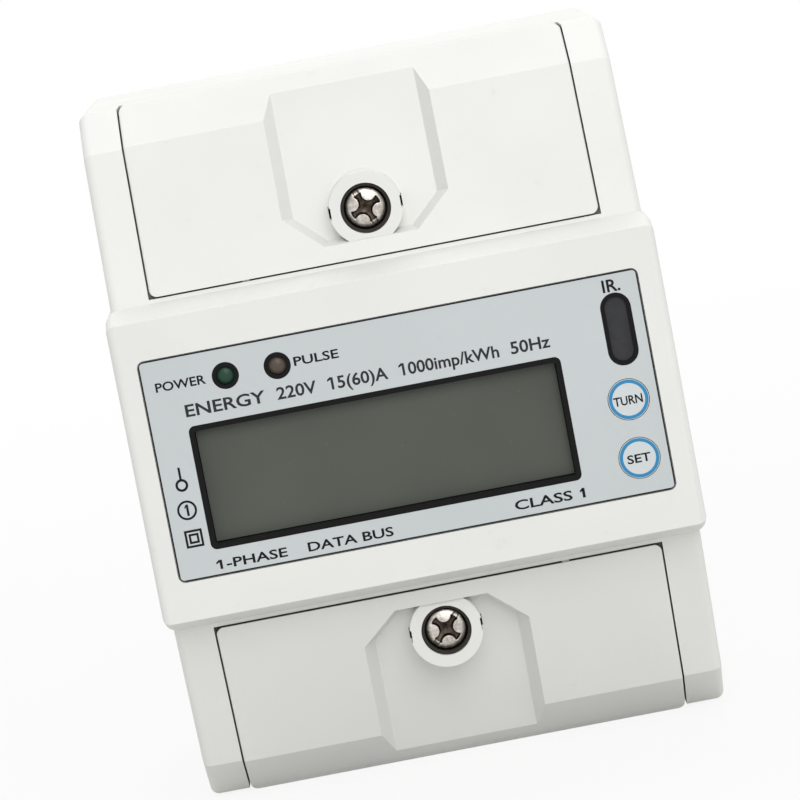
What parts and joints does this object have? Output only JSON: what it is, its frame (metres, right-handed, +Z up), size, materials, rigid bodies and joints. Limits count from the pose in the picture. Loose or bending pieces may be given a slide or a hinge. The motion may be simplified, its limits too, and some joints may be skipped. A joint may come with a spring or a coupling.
{
  "type": "single-phase energy meter",
  "caption": "Rail-mounted single-phase energy meter: raised nose with display and buttons between two sloping terminal covers, screw terminals inside and a sliding latch behind.",
  "frame": {"origin": "centre of the face that sits on the rail", "axes": "+X across the meter to the right seen from the front, +Y back towards the rail, +Z up the meter"},
  "size_m": [0.076, 0.065, 0.0988],
  "materials": {
    "housing": "fine matt moulding",
    "cover": "fine matt moulding",
    "faceplate": "satin printed film",
    "display_glass": "glossy, grey-green",
    "light_guide": "milky",
    "black_plastic": "satin",
    "board": "solder mask",
    "green_lamp": "clear, unlit",
    "clear_lamp": "clear, unlit",
    "infrared_plastic": "smooth",
    "button": "satin printed film",
    "connector": "natural nylon",
    "ribbon": "ribbed",
    "core": "varnished laminations",
    "yellow_case": "smooth",
    "blue_case": "smooth",
    "dark_case": "smooth",
    "copper": "rolled copper",
    "resistance_alloy": "brushed",
    "pins": "drawn",
    "block": "fine matt moulding",
    "zinc": "zinc plated",
    "cage": "passivated",
    "latch": "fine matt moulding"
  },
  "bodies": {
    "housing": {"base_housing": "housing", "front_housing": "housing", "top_terminal_cover": "cover", "bottom_terminal_cover": "cover", "top_cover_screw": "zinc", "bottom_cover_screw": "zinc", "top_screw_cup": "black_plastic", "bottom_screw_cup": "black_plastic", "faceplate": "faceplate", "lcd_bezel": "black_plastic", "lcd_panel": "display_glass", "lcd_backlight": "light_guide", "display_board": "board", "power_lamp": "green_lamp", "pulse_lamp": "clear_lamp", "lamp_rings": "black_plastic", "infrared_frame": "black_plastic", "infrared_window": "infrared_plastic", "infrared_diodes": "infrared_plastic", "turn_switch": "black_plastic", "set_switch": "black_plastic", "main_board": "board", "ribbon_sockets": "connector", "ribbon_cable": "ribbon", "transformer": "core", "film_capacitor": "yellow_case", "smoothing_capacitor": "dark_case", "varistor": "blue_case", "metering_chip": "black_plastic", "optocouplers": "black_plastic", "line_in_busbar": "copper", "line_out_busbar": "copper", "neutral_busbar": "copper", "current_shunt": "resistance_alloy", "tap_pins": "pins", "main_terminal_block": "block", "aux_terminal_block": "block", "aux_contacts": "pins", "latch_spring": "zinc", "housing_screws": "zinc"},
    "turn_button": {"turn_button": "button"},
    "set_button": {"set_button": "button"},
    "latch": {"rail_latch": "latch"},
    "main_screw_1": {"main_screw_1": "zinc"},
    "main_cage_1": {"main_cage_1": "cage"},
    "aux_screw_1": {"aux_screw_1": "zinc"},
    "aux_cage_1": {"aux_cage_1": "cage"},
    "main_screw_2": {"main_screw_2": "zinc"},
    "main_cage_2": {"main_cage_2": "cage"},
    "aux_screw_2": {"aux_screw_2": "zinc"},
    "aux_cage_2": {"aux_cage_2": "cage"},
    "main_screw_3": {"main_screw_3": "zinc"},
    "main_cage_3": {"main_cage_3": "cage"},
    "aux_screw_3": {"aux_screw_3": "zinc"},
    "aux_cage_3": {"aux_cage_3": "cage"},
    "main_screw_4": {"main_screw_4": "zinc"},
    "main_cage_4": {"main_cage_4": "cage"},
    "aux_screw_4": {"aux_screw_4": "zinc"},
    "aux_cage_4": {"aux_cage_4": "cage"}
  },
  "joints": [
    {"name": "main_screw_1_turn", "type": "hinge", "parent": "housing", "child": "main_screw_1", "pos_m": [-0.0228, -0.0395, -0.0399], "axis": [0, 1, 0], "range_deg": [0, 3375]},
    {"name": "main_cage_1_rise", "type": "slide", "parent": "housing", "child": "main_cage_1", "axis": [0, -1, 0], "range_m": [0, 0.0075]},
    {"name": "main_screw_2_turn", "type": "hinge", "parent": "housing", "child": "main_screw_2", "pos_m": [-0.0076, -0.0395, -0.0399], "axis": [0, 1, 0], "range_deg": [0, 3375]},
    {"name": "main_cage_2_rise", "type": "slide", "parent": "housing", "child": "main_cage_2", "axis": [0, -1, 0], "range_m": [0, 0.0075]},
    {"name": "main_screw_3_turn", "type": "hinge", "parent": "housing", "child": "main_screw_3", "pos_m": [0.0076, -0.0395, -0.0399], "axis": [0, 1, 0], "range_deg": [0, 3375]},
    {"name": "main_cage_3_rise", "type": "slide", "parent": "housing", "child": "main_cage_3", "axis": [0, -1, 0], "range_m": [0, 0.0075]},
    {"name": "main_screw_4_turn", "type": "hinge", "parent": "housing", "child": "main_screw_4", "pos_m": [0.0228, -0.0395, -0.0399], "axis": [0, 1, 0], "range_deg": [0, 3375]},
    {"name": "main_cage_4_rise", "type": "slide", "parent": "housing", "child": "main_cage_4", "axis": [0, -1, 0], "range_m": [0, 0.0075]},
    {"name": "aux_screw_1_turn", "type": "hinge", "parent": "housing", "child": "aux_screw_1", "pos_m": [-0.012, -0.0395, 0.0399], "axis": [0, 1, 0], "range_deg": [0, 2160]},
    {"name": "aux_cage_1_rise", "type": "slide", "parent": "housing", "child": "aux_cage_1", "axis": [0, -1, 0], "range_m": [0, 0.003]},
    {"name": "aux_screw_2_turn", "type": "hinge", "parent": "housing", "child": "aux_screw_2", "pos_m": [-0.004, -0.0395, 0.0399], "axis": [0, 1, 0], "range_deg": [0, 2160]},
    {"name": "aux_cage_2_rise", "type": "slide", "parent": "housing", "child": "aux_cage_2", "axis": [0, -1, 0], "range_m": [0, 0.003]},
    {"name": "aux_screw_3_turn", "type": "hinge", "parent": "housing", "child": "aux_screw_3", "pos_m": [0.004, -0.0395, 0.0399], "axis": [0, 1, 0], "range_deg": [0, 2160]},
    {"name": "aux_cage_3_rise", "type": "slide", "parent": "housing", "child": "aux_cage_3", "axis": [0, -1, 0], "range_m": [0, 0.003]},
    {"name": "aux_screw_4_turn", "type": "hinge", "parent": "housing", "child": "aux_screw_4", "pos_m": [0.012, -0.0395, 0.0399], "axis": [0, 1, 0], "range_deg": [0, 2160]},
    {"name": "aux_cage_4_rise", "type": "slide", "parent": "housing", "child": "aux_cage_4", "axis": [0, -1, 0], "range_m": [0, 0.003]},
    {"name": "turn_button_press", "type": "slide", "parent": "housing", "child": "turn_button", "axis": [0, 1, 0], "range_m": [0, 0.00035], "stiffness_N_per_m": 800},
    {"name": "set_button_press", "type": "slide", "parent": "housing", "child": "set_button", "axis": [0, 1, 0], "range_m": [0, 0.00035], "stiffness_N_per_m": 800},
    {"name": "latch_slide", "type": "slide", "parent": "housing", "child": "latch", "axis": [0, 0, -1], "range_m": [0, 0.0045], "stiffness_N_per_m": 1200, "deforming": ["latch_spring"]}
  ],
  "couplings": [
    {"joint": "main_screw_1_turn", "follows": "main_cage_1_rise", "rad_per_m": 7854},
    {"joint": "main_screw_2_turn", "follows": "main_cage_2_rise", "rad_per_m": 7854},
    {"joint": "main_screw_3_turn", "follows": "main_cage_3_rise", "rad_per_m": 7854},
    {"joint": "main_screw_4_turn", "follows": "main_cage_4_rise", "rad_per_m": 7854},
    {"joint": "aux_screw_1_turn", "follows": "aux_cage_1_rise", "rad_per_m": 12566},
    {"joint": "aux_screw_2_turn", "follows": "aux_cage_2_rise", "rad_per_m": 12566},
    {"joint": "aux_screw_3_turn", "follows": "aux_cage_3_rise", "rad_per_m": 12566},
    {"joint": "aux_screw_4_turn", "follows": "aux_cage_4_rise", "rad_per_m": 12566}
  ]
}
